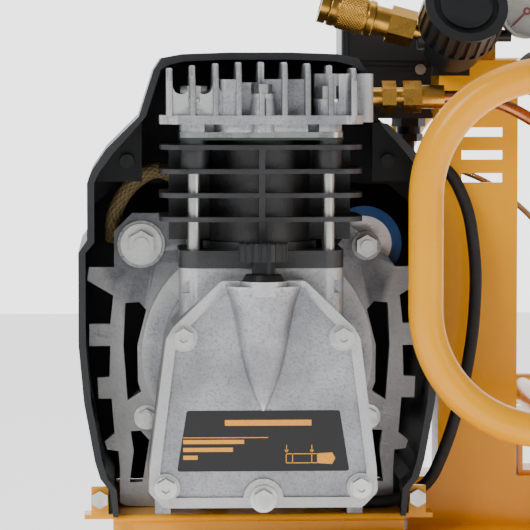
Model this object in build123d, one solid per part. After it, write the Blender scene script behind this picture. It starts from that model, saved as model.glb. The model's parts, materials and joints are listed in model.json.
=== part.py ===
from build123d import *
import math
import os

# Small single-cylinder air compressor, in millimetres. +Z is up and the pump looks along -Y.
# The origin is on the floor under the tank's axis.

# Tank: two pressed dishes, joined by a weld at mid height
TANK_R = 205.0
TANK_TOP = 174.0
TANK_MID = 95.0
TANK_CROWN_R = 110.0
TANK_SHOULDER = 34.0
TANK_WALL = 2.5
WELD_OUT = 2.5
FOOT_RADIUS_OUT = 150.0
FOOT_HEIGHT = 20.0

# Pump and motor, on one vertical plane through PUMP_X
PUMP_X = -90.0
SHAFT_Z = 290.0
SHAFT_R = 8.5
CYL_Y = -76.0
BORE_R = 23.5
STROKE = 30.0
ROD_LENGTH = 100.0
CRANK_PIN_Z = SHAFT_Z + STROKE / 4
BIG_END_Z = SHAFT_Z + STROKE / 2
WRIST_Z = BIG_END_Z + ROD_LENGTH
COVER_FACE_Y = -136.0
COVER_BACK_Y = -125.0
CASE_FRONT_Y = -124.0
PLATE_FRONT_Y = -35.0
PLATE_BACK_Y = -27.0
CYL_BASE_Z = 349.6
CYL_TOP_Z = 430.0
FIN_HALF_X = 64.0
FIN_HALF_Y = 40.0
HEAD_HALF_Y = 42.0
FIN_FIRST_Z = 380.2
FIN_PITCH = 15.1
STUD_X = 42.5
STUD_Y = 29.0
HEAD_BASE_Z = 435.0
HEAD_TOP_Z = 479.0
HEAD_FIN_PITCH = 14.45
HEAD_FIN_HALF = 1.9
HEAD_SEAT_Z = 454.0
PORT_Z = 456.5
PORT_Y = -60.0

# Frame
TRAY_Z = 188.0
BASE_TOP_Z = 206.0
STAND_TOP_Z = 480.0
TAB_OFFSET = 102.5
TAB_XS = (PUMP_X - TAB_OFFSET, PUMP_X + TAB_OFFSET)
SHROUD_BOLT_Z = TRAY_Z + 10
SHROUD_BACK = 112.0
STAND_X0 = 30.0
STAND_X1 = 82.0
TUBE_R = 11.0
HOOP_X0 = 12.0
HOOP_X1 = TANK_R + WELD_OUT - TUBE_R
HOOP_Z0 = 248.0
HOOP_Z1 = 471.0
HOOP_BEND = 77.0
HOOP_Y = 130.0
BAR_X = (HOOP_X0 + HOOP_X1) / 2

# Air line
REG_POINT = Vector(38.0, -30.0, 492.0)
REG_AXIS = Vector(0.10, -0.87, 0.48).normalized()
COUPLER_POINT = Vector(15.0, -38.0, 499.0)
COUPLER_AXIS = Vector(-math.cos(math.radians(15)), 0.0, math.sin(math.radians(15)))
CABLE_R = 4.0
CLEAR = 0.2

os.makedirs("parts", exist_ok=True)


# ---- shape helpers ----

def block(x0, x1, y0, y1, z0, z1):
    """Box between two corners."""
    return Pos((x0 + x1) / 2, (y0 + y1) / 2, (z0 + z1) / 2) * Box(x1 - x0, y1 - y0, z1 - z0)


def rod_x(y, z, r, x0, x1):
    """Round bar along X."""
    return Pos((x0 + x1) / 2, y, z) * Rot(0, 90, 0) * Cylinder(r, x1 - x0)


def rod_y(x, z, r, y0, y1):
    """Round bar along Y."""
    return Pos(x, (y0 + y1) / 2, z) * Rot(90, 0, 0) * Cylinder(r, y1 - y0)


def rod_z(x, y, r, z0, z1):
    """Round bar along Z."""
    return Pos(x, y, (z0 + z1) / 2) * Cylinder(r, z1 - z0)


def rod_on(origin, axis, r, s0, s1):
    """Round bar along any axis, from s0 to s1 beyond the origin."""
    plane = Plane(origin=origin + axis * s0, z_dir=axis)
    return extrude(plane * Circle(r), amount=s1 - s0)


def hex_on(origin, axis, across, s0, s1):
    """Hexagonal bar along any axis."""
    plane = Plane(origin=origin + axis * s0, z_dir=axis)
    return extrude(plane * RegularPolygon(across / math.sqrt(3), 6), amount=s1 - s0)


def slab(points, y0, y1):
    """Plate between two vertical planes, with a closed outline in X and Z."""
    outline = make_face(Polyline(*points, close=True))
    return Pos(0, y1, 0) * extrude(Plane.XZ * outline, amount=y1 - y0)


def mirrored(half):
    """Outline that repeats its left-hand points on the right, top to bottom."""
    return half + [(-x, z) for x, z in reversed(half)]


def corners(solid, axis, radius):
    """Round every edge that runs along one axis."""
    return fillet(solid.edges().filter_by(axis), radius)


def tube_path(points, sharpness=0.45):
    """Straight runs joined by tangent arcs, each as large as its two runs allow."""
    vectors = [Vector(*p) for p in points]
    radii = []
    for before, here, after in zip(vectors, vectors[1:], vectors[2:]):
        run_in = here - before
        run_out = after - here
        turn = math.radians(run_in.get_angle(run_out))
        radii.append(sharpness * min(run_in.length, run_out.length) / math.tan(turn / 2))
    return FilletPolyline(*vectors, radius=radii), radii


def tube_along(points, r, label):
    """Round tube or cord along tube_path."""
    path, radii = tube_path(points)
    start = path.position_at(0)
    section = Plane(origin=start, z_dir=path.tangent_at(0)) * Circle(r)
    solid = sweep(section, path=path)
    ratio = solid.volume / (math.pi * r * r * path.length)
    shown = [round(radius, 1) for radius in radii]
    print(label, "radii", shown, "length", round(path.length, 1), "ratio", round(ratio, 4))
    return solid


def save(name, shape):
    """Write one node; pieces that don't touch stay separate solids."""
    export_step(Compound(children=list(shape.solids())), f"parts/{name}.step")


def save_pump(name, shape):
    """Write one node that was drawn about the pump's own centre plane."""
    save(name, Pos(PUMP_X, 0, 0) * shape)


def join(shapes):
    """Fuse a list of solids."""
    total = shapes[0]
    for shape in shapes[1:]:
        total = total + shape
    return total


# ---- tank ----

def tank_body(inset):
    """Whole tank as a solid, smaller by the inset on every side."""
    r = TANK_R - inset
    top = TANK_TOP - inset
    shoulder = top - TANK_SHOULDER
    mirror_z = 2 * TANK_MID
    points = [(0, top), (TANK_CROWN_R, top), (r, shoulder), (r, mirror_z - shoulder)]
    points += [(TANK_CROWN_R, mirror_z - top), (0, mirror_z - top)]
    face = make_face(Plane.XZ * Polyline(*points, close=True))
    crowns = face.vertices().filter_by(lambda v: abs(v.X - TANK_CROWN_R) < 0.01)
    face = fillet(crowns, 120)
    knuckles = face.vertices().filter_by(lambda v: abs(v.X - r) < 0.01)
    face = fillet(knuckles, 40 - inset)
    return revolve(face, Axis.Z)


def tank_height(radius):
    """Height of the tank's sloping top at a distance from its axis."""
    return TANK_TOP - (radius - TANK_CROWN_R) * TANK_SHOULDER / (TANK_R - TANK_CROWN_R)


TANK_OUTER = tank_body(0)
TANK_INNER = tank_body(TANK_WALL)
CHECK_AT = (150.0, -55.0)
DRAIN_TURN = -45.0
DRAIN_Z = 52.0


def radial(shape):
    """Turn a shape drawn along +X so that it points out at the drain's angle."""
    return Rot(0, 0, DRAIN_TURN) * shape


def tank_shells():
    """Upper and lower dishes with their welded sockets and the weld bead."""
    skin = TANK_OUTER - TANK_INNER
    big = 3 * TANK_R
    upper = skin - Pos(0, 0, TANK_MID - big / 2) * Box(big, big, big)
    lower = skin - Pos(0, 0, TANK_MID + big / 2) * Box(big, big, big)
    seat = tank_height(math.hypot(*CHECK_AT))
    bung = rod_z(*CHECK_AT, 13, seat - 8, seat + 8)
    check_bore = rod_z(*CHECK_AT, 8.2, seat - 14, seat + 12)
    upper = (upper + (bung - TANK_INNER)) - check_bore
    drain_bung = radial(rod_x(0, DRAIN_Z, 12, TANK_R - 12, TANK_R + 6))
    drain_bore = radial(rod_x(0, DRAIN_Z, 7.2, TANK_R - 30, TANK_R + 12))
    lower = (lower + (drain_bung - TANK_INNER)) - drain_bore
    bead = rod_z(0, 0, TANK_R + WELD_OUT, TANK_MID - 4, TANK_MID + 4) - rod_z(0, 0, TANK_R, 0, 200)
    bead = chamfer(bead.edges().filter_by(GeomType.CIRCLE).sort_by(Axis.Z)[-1:], 1.2)
    lower = lower + (bead - rod_z(0, 0, 300, TANK_MID, TANK_MID + 20))
    upper = upper + (bead - rod_z(0, 0, 300, TANK_MID - 20, TANK_MID))
    save("tank_upper_shell", upper)
    save("tank_lower_shell", lower)


def feet():
    """Four pressed channels under the tank, each with a rubber buffer."""
    channels = []
    buffers = []
    for turn in (45, 135, 225, 315):
        out = FOOT_RADIUS_OUT
        channel = block(out - 34, out + 26, -24, 24, FOOT_HEIGHT, 70)
        channel = channel - block(out - 40, out + 40, -21, 21, FOOT_HEIGHT + 3, 80) - TANK_OUTER
        channel = channel - rod_z(out, 0, 5.2, 0, 40)
        buffer = rod_z(out, 0, 20, 0, FOOT_HEIGHT)
        buffer = chamfer(buffer.edges().sort_by(Axis.Z)[:1], 2.5)
        buffer = buffer + rod_z(out, 0, 5, FOOT_HEIGHT, FOOT_HEIGHT + 3) + rod_z(out, 0, 8, 23, 27)
        channels.append(Rot(0, 0, turn) * channel)
        buffers.append(Rot(0, 0, turn) * buffer)
    save("foot_brackets", join(channels))
    save("rubber_feet", join(buffers))


def drain_valve():
    """Quarter-turn drain valve low on the tank, with its lever on top."""
    x0 = TANK_R + 6
    body = rod_x(0, DRAIN_Z, 7, TANK_R - 8, x0) + hex_x(x0, x0 + 6, 16, DRAIN_Z)
    body = body + rod_x(0, DRAIN_Z, 8.5, x0 + 6, x0 + 20) + rod_x(0, DRAIN_Z, 5.5, x0 + 20, x0 + 30)
    body = body + rod_z(x0 + 13, 0, 5, DRAIN_Z, DRAIN_Z + 11)
    body = body - rod_x(0, DRAIN_Z, 3, x0 + 12, x0 + 40)
    lever = rod_z(x0 + 13, 0, 6, DRAIN_Z + 11.3, DRAIN_Z + 15)
    grip = block(x0 - 17, x0 + 13, -4, 4, DRAIN_Z + 12, DRAIN_Z + 15)
    lever = lever + Pos(x0 + 13, 0, 0) * Rot(0, 0, 180) * Pos(-x0 - 13, 0, 0) * grip
    save("drain_valve_body", radial(body))
    save("drain_lever", radial(lever))


def hex_x(x0, x1, across, z, y=0.0):
    """Hexagonal bar along X."""
    return hex_on(Vector(x0, y, z), Vector(1, 0, 0), across, 0, x1 - x0)


tank_shells()
feet()
drain_valve()


# ---- yellow frame ----

def loop_path(y):
    """Rounded rectangle that one roll hoop follows."""
    width = HOOP_X1 - HOOP_X0
    height = HOOP_Z1 - HOOP_Z0
    centre = Plane(origin=(BAR_X, y, (HOOP_Z0 + HOOP_Z1) / 2), x_dir=(1, 0, 0), z_dir=(0, -1, 0))
    return centre * RectangleRounded(width, height, HOOP_BEND)


def hoop(y):
    """Bent steel tube closed into a loop."""
    path = loop_path(y).wire()
    start = Plane(origin=path.position_at(0), z_dir=path.tangent_at(0))
    return sweep(start * Circle(TUBE_R), path=path)


FRONT_HOOP = hoop(-HOOP_Y)
REAR_HOOP = hoop(HOOP_Y)


def frame_tubes():
    """Two hoops, the tubes welded between them, and the saddle on the control base."""
    save("front_roll_hoop", FRONT_HOOP)
    save("rear_roll_hoop", REAR_HOOP)
    bottom_bar = rod_y(BAR_X, HOOP_Z0, 9, -HOOP_Y, HOOP_Y)
    saddle = block(BAR_X - 20, BAR_X + 20, -18, 18, BASE_TOP_Z, HOOP_Z0)
    saddle = saddle - block(BAR_X - 17, BAR_X + 17, -30, 30, BASE_TOP_Z + 3, HOOP_Z0 - 12)
    saddle = saddle - rod_z(BAR_X, 0, 4.2, BASE_TOP_Z - 1, BASE_TOP_Z + 5)
    top_bar = rod_y(BAR_X, HOOP_Z1, TUBE_R, -HOOP_Y, HOOP_Y)
    lower = (bottom_bar + saddle) - FRONT_HOOP - REAR_HOOP
    upper = top_bar - FRONT_HOOP - REAR_HOOP
    save("cage_crossbars", lower + upper)
    grip = rod_y(BAR_X, HOOP_Z1, 16, -45, 45) - rod_y(BAR_X, HOOP_Z1, TUBE_R, -60, 60)
    grip = fillet(grip.edges().filter_by(GeomType.CIRCLE).filter_by(lambda e: e.radius > 15), 3)
    rings = [rod_y(BAR_X, HOOP_Z1, 18, y - 1, y + 1) - rod_y(BAR_X, HOOP_Z1, 15, y - 5, y + 5)
             for y in range(-38, 39, 4)]
    grooves = join(rings)
    outer_groove = grooves & (rod_y(BAR_X, HOOP_Z1, 17, -50, 50) - rod_y(BAR_X, HOOP_Z1, 15.2, -60, 60))
    save("handle_grip", grip - outer_groove)


def tray():
    """Folded tray under the pump, with its saddles, front lip and shroud tabs."""
    x0 = PUMP_X - 94
    x1 = PUMP_X + 94
    sheet = block(x0, x1, -69, SHROUD_BACK, TRAY_Z - 3, TRAY_Z)
    sheet = sheet + block(x0, x1, -69, -66, TRAY_Z - 12, TRAY_Z)
    lip = rod_x(-69.5, TRAY_Z - 2.4, 2.4, x0, x1)
    saddles = [block(x, x + 30, -40, 100, TANK_TOP - 40, TRAY_Z - 3) for x in (x0 + 40, x1 - 50)]
    cavities = [block(x + 3, x + 27, -50, 110, TANK_TOP - 45, TRAY_Z - 6) for x in (x0 + 40, x1 - 50)]
    saddles = (join(saddles) - join(cavities)) - TANK_OUTER
    tabs = [block(x - 5.5, x + 5.5, -69, -66, TRAY_Z - 3, TRAY_Z + 18) for x in TAB_XS]
    tabs += [block(x - 10, x + 10, -69, -50, TRAY_Z - 3, TRAY_Z) for x in TAB_XS]
    holes = [rod_y(x, SHROUD_BOLT_Z, 3.3, -75, -60) for x in TAB_XS]
    return sheet + lip + saddles + join(tabs) - join(holes)


def control_frame():
    """Folded base on the tank's right and the upright that carries the controls."""
    base = block(10, 150, -25, 22, 120, BASE_TOP_Z) - block(13, 147, -22, 19, 100, BASE_TOP_Z - 3)
    base = base - TANK_OUTER - rod_z(BAR_X, 0, 4.2, 190, 220)
    x0 = STAND_X0
    x1 = STAND_X1
    sheet = 2.5
    stand = block(x0, x1, -25, 18, BASE_TOP_Z, STAND_TOP_Z)
    stand = stand - block(x0 + sheet, x1 - sheet, -22.5, 30, BASE_TOP_Z + sheet, STAND_TOP_Z + 5)
    shelf = block(x0, x1, -22.5, 85, 467.5, 470) + block(x0, x1, 82.5, 85, 455, 470)
    shelf = shelf + block(x0, x0 + sheet, 10, 85, 445, 470) + block(x1 - sheet, x1, 10, 85, 445, 470)
    shelf = shelf - block(x0 - 1, 36, 30, 100, 440, 480)
    slots = [block(45, 72, -30, -20, z, z + 6) for z in (430, 415, 400)]
    stand = stand + shelf - join(slots)
    return base, stand


TRAY = tray()


def bolt(origin, axis, r, across, length):
    """Hexagon bolt: washer face and head on the axis side, shank behind the origin."""
    head = rod_on(origin, axis, across / 2 - 0.3, 0, 0.8) + hex_on(origin, axis, across, 0.8, 0.8 + r * 1.3)
    return head + rod_on(origin, axis, r, -length, 0)


def frame_bolts():
    """Bolts of the shroud tabs, and the bolt of the cage saddle."""
    front = Vector(0, -1, 0)
    shapes = [bolt(Vector(x, -69, SHROUD_BOLT_Z), front, 3, 10, 9) for x in TAB_XS]
    shapes.append(bolt(Vector(BAR_X, 0, BASE_TOP_Z + 3), Vector(0, 0, 1), 4, 13, 12))
    shapes.append(rod_y(23.5, 474, 3.6, 36.6, 38.4) - block(22.9, 24.1, 30, 37.4, 460, 490))
    save("frame_bolts", join(shapes))


frame_tubes()
save("pump_tray", TRAY)
CONTROL_BASE, CONTROL_STAND = control_frame()
save("control_base", CONTROL_BASE)
save("control_stand", CONTROL_STAND)
frame_bolts()


# ---- shroud ----

def shroud_half(inset, lower_to):
    """Left-hand outline of the shroud about the pump's centre plane, top to bottom."""
    top = [(-20, 485 - inset), (-49 + inset * 0.2, 484 - inset), (-62.5 + inset, 481.5 - inset)]
    cheek = [(-67.5 + inset, 474), (-77 + inset, 444.3), (-97.6 + inset, 424 - inset * 0.6)]
    cheek += [(-107 + inset, 410 - inset * 0.3), (-110 + inset, 402)]
    wall = [(-110 + inset, 366 - inset * 0.4), (-115.7 + inset, 357.6), (-115.7 + inset, 299)]
    wall += [(-112.3 + inset, 262), (-105.4 + inset, 224), (-102 + inset, 213), (-96.2 + inset, 205.5)]
    return top + cheek + wall + [(-93.8 + inset, lower_to)]


def rear_half(inset, lower_to):
    """Left-hand outline of the lower housing behind the hood."""
    top = [(-40, 402 - inset), (-92 + inset * 0.5, 400 - inset), (-110 + inset, 384)]
    return top + shroud_half(inset, lower_to)[8:]


def shroud():
    """Wrap-around housing, open at the front and below, with a stepped hood."""
    wall = 3.0
    hood_back = 25.0
    back = SHROUD_BACK
    floor = TRAY_Z + 0.3
    outer = slab(mirrored(shroud_half(0, floor)), -85, hood_back)
    outer = outer + slab(mirrored(rear_half(0, floor)), hood_back, back)
    inner = slab(mirrored(shroud_half(wall, floor - 20)), -95, hood_back - wall)
    inner = inner + slab(mirrored(rear_half(wall, floor - 20)), hood_back - wall - 1, back - wall)
    skin = outer - inner
    rim = slab(mirrored(shroud_half(1.2, floor)), -85, -80)
    rim = rim - slab(mirrored(shroud_half(wall + 1.6, floor - 20)), -95, -70)
    ledge = [(-75, 443), (-74.8, 401.5), (-108.5, 401.5), (-105, 409.5), (-96, 422.5)]
    ledges = [slab([(s * x, z) for x, z in ledge], -42, -39) for s in (-1, 1)]
    bosses = [rod_y(s * 84.5, 414.7, 4.6, -46, -39) for s in (-1, 1)]
    lugs = [block(s * 101 - 6.5, s * 101 + 6.5, -65.7, -56, floor, floor + 16) for s in (-1, 1)]
    lug_holes = [rod_y(s * TAB_OFFSET, SHROUD_BOLT_Z, 3.2, -70, -58) for s in (-1, 1)]
    vents = [block(x, x + 42, back - 8, back + 8, z, z + 5)
             for x in (-58, 16) for z in range(232, 346, 10)]
    side_vents = [block(s * 130 - 40, s * 130 + 40, y, y + 5, 300, 350)
                  for s in (-1, 1) for y in range(56, 100, 10)]
    fitting_notch = block(60, 100, -95, -38, PORT_Z - 17, PORT_Z + 17)
    reset_hole = rod_y(-60, 365, 8.2, back - 10, back + 10)
    body = skin + rim + join(ledges) + join(bosses) + join(lugs)
    body = body - join(vents) - join(side_vents) - join(lug_holes) - fitting_notch - reset_hole
    cable_notch = block(80, 98, -55.7, -44, floor - 5, floor + 16)
    return body - cable_notch


def reset_switch():
    """Overload reset: a collar on the housing's back and a button that pushes in."""
    back = SHROUD_BACK
    collar = rod_y(-60, 365, 10.5, back - 6, back + 3) - rod_y(-60, 365, 5.3, back - 20, back + 10)
    save_pump("shroud", shroud() + collar)
    button = rod_y(-60, 365, 5.25, back - 4, back + 8)
    button = fillet(button.edges().sort_by(Axis.Y)[-1:], 1.5)
    save_pump("reset_button", button)


reset_switch()


# ---- motor ----

TIE_POINTS = [(-75.4, 360.5), (-72.3, 247.2), (73.0, 247.2)]
CAP_AT = (71.6, 359.2)
CAP_FRONT_Y = -13.0
CAP_BACK_Y = 60.0


def plate_left():
    """Left-hand outline of the cast end plate below its ears, top to bottom."""
    upper = [(-109.3, 345.5), (-110.6, 337), (-93.6, 326.9), (-95.6, 308.4)]
    lugs = [(-109.3, 308.4), (-109.3, 294), (-95.6, 294), (-96.2, 273.8)]
    lower = [(-104, 273.2), (-103.4, 259.5), (-94.9, 259.5), (-93, 236.7), (-99.5, 231.2)]
    foot = [(-97.8, 226), (-90.5, 225), (-89.6, 214), (-89.6, 191), (-85, 189), (-58.4, TRAY_Z)]
    return upper + lugs + lower + foot


def slots(side):
    """Two cooling slots through one side of the end plate."""
    upper = [(-85.8, 322), (-76.7, 322.7), (-72.1, 317.5), (-78, 294), (-77.6, 270)]
    upper += [(-75.6, 264), (-84.5, 258.2), (-87.1, 294)]
    lower = [(-82.5, 238), (-76, 238.4), (-70.2, 232), (-74.7, 204.8), (-83.2, 204.1), (-80.6, 225)]
    shapes = [slab([(side * -x, z) for x, z in outline], -45, -10) for outline in (upper, lower)]
    return join(shapes)


def motor_plate():
    """Die-cast end plate: bearing boss, two ears, cooling slots and feet."""
    left = plate_left()
    right = [(-x, z) for x, z in reversed(left)]
    plate = slab(left + right, PLATE_FRONT_Y, PLATE_BACK_Y)
    left_ear = [(-93, 345), (-93, 369), (-81.2, 380.7), (-59.1, 380.7), (-46.1, 369)]
    left_ear += [(-30.4, 359.2), (-26, 345)]
    right_ear = [(90.7, 345), (86, 352), (61.4, 372.5), (57.5, 366), (52, 358.5)]
    right_ear += [(30, 357), (26, 345)]
    for ear in (left_ear, right_ear):
        plate = plate + slab(ear, PLATE_FRONT_Y, PLATE_BACK_Y)
    plate = plate + rod_y(0, SHAFT_Z, 27, PLATE_FRONT_Y, -22)
    plate = plate + rod_y(*TIE_POINTS[0], 15.5, PLATE_FRONT_Y - 1.5, PLATE_FRONT_Y)
    plate = plate + rod_y(CAP_AT[0], CAP_AT[1], 9.5, PLATE_FRONT_Y - 1.5, PLATE_BACK_Y)
    plate = plate - rod_y(0, SHAFT_Z, 20, PLATE_FRONT_Y + 1, 0) - rod_y(0, SHAFT_Z, 12, -40, -20)
    plate = plate - slots(1) - slots(-1)
    for x, z in TIE_POINTS:
        plate = plate - rod_y(x, z, 5.2, -45, -20)
    foot_gap = ((60, 206), (24, 206), (18, 188), (60, 188))
    for side in (-1, 1):
        plate = plate - slab([(side * x, z) for x, z in foot_gap], -45, -10)
    return plate - rod_y(*CAP_AT, 4.2, -45, -20)


def motor():
    """Stator, windings, rear bell, tie bolts, bearings and the turning group."""
    save_pump("motor_plate", motor_plate())
    ring = rod_y(0, SHAFT_Z, 72, -12, 50) - rod_y(0, SHAFT_Z, 40.3, -20, 60)
    rib = block(71, 74, -12, 50, -3, 3)
    ribs = [Pos(0, 0, SHAFT_Z) * Rot(0, turn, 0) * rib for turn in range(0, 360, 30)]
    save_pump("stator", ring + join(ribs))
    coils = []
    for y0, y1 in ((-21, -12), (50, 60)):
        coil = rod_y(0, SHAFT_Z, 64, y0, y1) - rod_y(0, SHAFT_Z, 43, y0 - 1, y1 + 1)
        coils.append(fillet(coil.edges().filter_by(GeomType.CIRCLE), 3))
    save_pump("windings", join(coils))
    bell = rod_y(0, SHAFT_Z, 74, 64, 72)
    for x, z in TIE_POINTS:
        bell = bell + rod_y(x, z, 9, 64, 72) + arm((0, SHAFT_Z), (x, z), 8, 64, 72)
    bell = bell + (rod_y(0, SHAFT_Z, 74, 50, 64) - rod_y(0, SHAFT_Z, 70, 49, 65))
    bell = bell + rod_y(0, SHAFT_Z, 22, 60, 72)
    bell = bell - rod_y(0, SHAFT_Z, 17.5, 62, 80) - rod_y(0, SHAFT_Z, 11, 55, 80)
    window = block(32, 62, 60, 80, -9, 9)
    windows = [Pos(0, 0, SHAFT_Z) * Rot(0, turn, 0) * window for turn in range(20, 380, 60)]
    bell = bell - join(windows)
    for x, z in TIE_POINTS:
        bell = bell - rod_y(x, z, 5.2, 50, 90)
    save_pump("rear_end_bell", bell)
    front = Vector(0, -1, 0)
    bolts = []
    for index, (x, z) in enumerate(TIE_POINTS):
        big = index == 0
        seat = PLATE_FRONT_Y - (1.5 if big else 0)
        washer = rod_y(x, z, 13.4 if big else 8, seat - 1.5, seat)
        nut = hex_on(Vector(x, seat - 1.5, z), front, 16 if big else 10, 0, 7 if big else 5)
        shank = rod_y(x, z, 5 if big else 4, seat - (11 if big else 8), 76)
        tail = hex_on(Vector(x, 72, z), Vector(0, 1, 0), 14, 0, 5)
        bolts.append(washer + nut + shank + tail)
    stud_seat = PLATE_FRONT_Y - 1.5
    cap_nut = hex_on(Vector(CAP_AT[0], stud_seat, CAP_AT[1]), front, 13, 0, 6.5)
    bolts.append(cap_nut - rod_y(*CAP_AT, 4.05, -60, -20))
    save_pump("motor_tie_bolts", join(bolts))
    shaft_hole = rod_y(0, SHAFT_Z, SHAFT_R + 0.05, -50, 90)
    front_bearing = rod_y(0, SHAFT_Z, 20, PLATE_FRONT_Y + 1, -22) - shaft_hole
    rear_bearing = rod_y(0, SHAFT_Z, 17.5, 62, 72) - shaft_hole
    save_pump("bearings", front_bearing + rear_bearing)


def arm(start, end, half, y0, y1):
    """Flat arm between two points of the XZ plane."""
    dx = end[0] - start[0]
    dz = end[1] - start[1]
    length = math.hypot(dx, dz)
    turn = -math.degrees(math.atan2(dz, dx))
    return Pos(start[0], 0, start[1]) * Rot(0, turn, 0) * block(60, length, y0, y1, -half, half)


def capacitor():
    """Run capacitor on its stud, in a shrunk plastic sleeve."""
    can = rod_y(*CAP_AT, 23.6, CAP_FRONT_Y, CAP_BACK_Y)
    can = can + rod_y(*CAP_AT, 4, -45, CAP_FRONT_Y) + rod_y(*CAP_AT, 9, PLATE_BACK_Y, CAP_FRONT_Y)
    sleeve = rod_y(*CAP_AT, 25, CAP_FRONT_Y - 1, CAP_BACK_Y - 2)
    sleeve = sleeve - rod_y(*CAP_AT, 23.6, CAP_FRONT_Y, CAP_BACK_Y)
    sleeve = sleeve - rod_y(*CAP_AT, 18.4, CAP_FRONT_Y - 2, CAP_FRONT_Y)
    save_pump("capacitor_can", can)
    save_pump("capacitor_sleeve", sleeve)


def turning_group():
    """Rotor, fan and crankshaft on one line."""
    shaft = rod_y(0, SHAFT_Z, SHAFT_R, -48, 106)
    web = rod_y(0, SHAFT_Z, 34, -58, -48) - block(-40, 40, -60, -40, SHAFT_Z + 6, SHAFT_Z + 50)
    web = web + rod_y(0, SHAFT_Z, 14, -58, -48) + rod_y(0, CRANK_PIN_Z, 9, -58, -48)
    pin = rod_y(0, CRANK_PIN_Z, 5, -63.6, -56)
    save_pump("crankshaft", shaft + web + pin)
    rotor = rod_y(0, SHAFT_Z, 39.7, -12, 50) - rod_y(0, SHAFT_Z, SHAFT_R, -20, 60)
    save_pump("rotor", rotor)
    hub = rod_y(0, SHAFT_Z, 18, 80, 102) - rod_y(0, SHAFT_Z, SHAFT_R, 70, 110)
    blades = []
    for turn in range(0, 360, 40):
        blade = Rot(28, 0, 0) * block(16, 62, -11, 11, -1.2, 1.2)
        blades.append(Pos(0, 91, SHAFT_Z) * Rot(0, turn, 0) * blade)
    save_pump("fan", (hub + join(blades)) - rod_y(0, SHAFT_Z, SHAFT_R, 70, 110))


def slider_crank():
    """Bush, connecting rod and piston; the rod stays on the cylinder's axis."""
    back = -58.3
    face = -64.0
    bush = rod_y(0, CRANK_PIN_Z, 9.5, face, back) + rod_y(0, BIG_END_Z, 9.5, face, back)
    bush = bush + block(-9.5, 9.5, face, back, CRANK_PIN_Z, BIG_END_Z)
    bush = bush + rod_y(0, BIG_END_Z, 7, CYL_Y - 6, face)
    save_pump("big_end_bush", bush - rod_y(0, CRANK_PIN_Z, 5.05, -70, -50))
    rod = rod_y(0, BIG_END_Z, 15, CYL_Y - 7, face - 0.3) + rod_y(0, WRIST_Z, 10, CYL_Y - 7, CYL_Y + 7)
    rod = rod + block(-6, 6, CYL_Y - 4, CYL_Y + 4, BIG_END_Z, WRIST_Z)
    rod = rod + block(-9, 9, CYL_Y - 6, CYL_Y - 2, BIG_END_Z + 10, WRIST_Z - 6)
    rod = rod + block(-2.5, 2.5, CYL_Y - 3, CYL_Y + 3, BIG_END_Z - 32, BIG_END_Z - 10)
    rod = rod - rod_y(0, BIG_END_Z, 7.05, -100, -50) - rod_y(0, WRIST_Z, 6, -100, -60)
    save_pump("connecting_rod", rod)
    crown = WRIST_Z + 22
    piston = rod_z(0, CYL_Y, BORE_R - 0.08, crown - 38, crown) - rod_z(0, CYL_Y, 20, crown - 40, crown - 7)
    bosses = rod_y(0, WRIST_Z, 10, CYL_Y - 23, CYL_Y - 8) + rod_y(0, WRIST_Z, 10, CYL_Y + 8, CYL_Y + 23)
    bosses = bosses & rod_z(0, CYL_Y, 21, 300, 440)
    grooves = [rod_z(0, CYL_Y, 30, crown - z, crown - z + 1.2) - rod_z(0, CYL_Y, BORE_R - 1, 300, 440)
               for z in (5, 9, 13)]
    pin = rod_y(0, WRIST_Z, 6, CYL_Y - 20, CYL_Y + 20)
    save_pump("piston", (piston + bosses + pin) - join(grooves))


motor()
capacitor()
turning_group()
slider_crank()


# ---- pump ----

CASE_LEFT = [(-26, 343.2), (-56.4, 314), (-60.5, 307), (-70.7, 226.7), (-71.5, 211), (-62, 201.2)]
COVER_BOLTS = [(-49.7, 307.9), (49.7, 307.9), (-60.9, 214), (60.9, 214)]
DRAIN_Z_PLUG = 207.0
FILL_Z = 343.2
FILL_Y = -137.0


def case_outline(inset=0.0):
    """Outline of the crankcase's front joint, smaller by an inset."""
    face = make_face(Polyline(*mirrored(CASE_LEFT), close=True))
    face = fillet(face.vertices(), 5)
    return offset(face, amount=-inset) if inset else face


def case_slab(inset, y0, y1):
    """Plate with the crankcase's outline."""
    return Pos(0, y1, 0) * extrude(Plane.XZ * case_outline(inset), amount=y1 - y0)


def crankcase():
    """Cast case: sump, neck under the cylinder and round flange on the motor plate."""
    body = case_slab(0, CASE_FRONT_Y, -54)
    body = body + rod_y(0, SHAFT_Z, 75, -45, PLATE_FRONT_Y) + rod_y(0, SHAFT_Z, 62, -56, -45)
    neck = corners(block(-49, 49, -115, -36, 300, CYL_BASE_Z), Axis.Z, 9)
    body = body + neck
    for side in (-1, 1):
        body = body + rod_z(side * STUD_X, CYL_Y - STUD_Y, 9.5, 318, CYL_BASE_Z)
        body = body + block(side * 62 - 5, side * 62 + 5, -69, -58, TRAY_Z, 208)
    cavity = case_slab(8, CASE_FRONT_Y - 1, -60) & block(-80, 80, -130, -50, 200, 336)
    cavity = cavity + rod_y(0, SHAFT_Z, 48, CASE_FRONT_Y - 1, -46.5) + rod_z(0, CYL_Y, 25, 320, 360)
    above_neck = block(-90, 90, -60, -30, CYL_BASE_Z, 380)
    body = body - cavity - above_neck - rod_y(0, SHAFT_Z, 9.4, -60, -30)
    for side_x in (-1, 1):
        for side_y in (-1, 1):
            body = body - rod_z(side_x * STUD_X, CYL_Y + side_y * STUD_Y, 4.1, 334, 360)
    for x, z in COVER_BOLTS:
        body = body - rod_y(x, z, 3.1, CASE_FRONT_Y - 1, -108)
    notches = [block(s * 49.5 - 4, s * 49.5 + 4, -118, -111, 334, 342) for s in (-1, 1)]
    ribs = [block(s * 64 - 1.5, s * 64 + 1.5, -120, -60, 230, 262) for s in (-1, 1)]
    return (body - join(notches)) + (join(ribs) & case_slab(-3, -120, -60))


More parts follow.
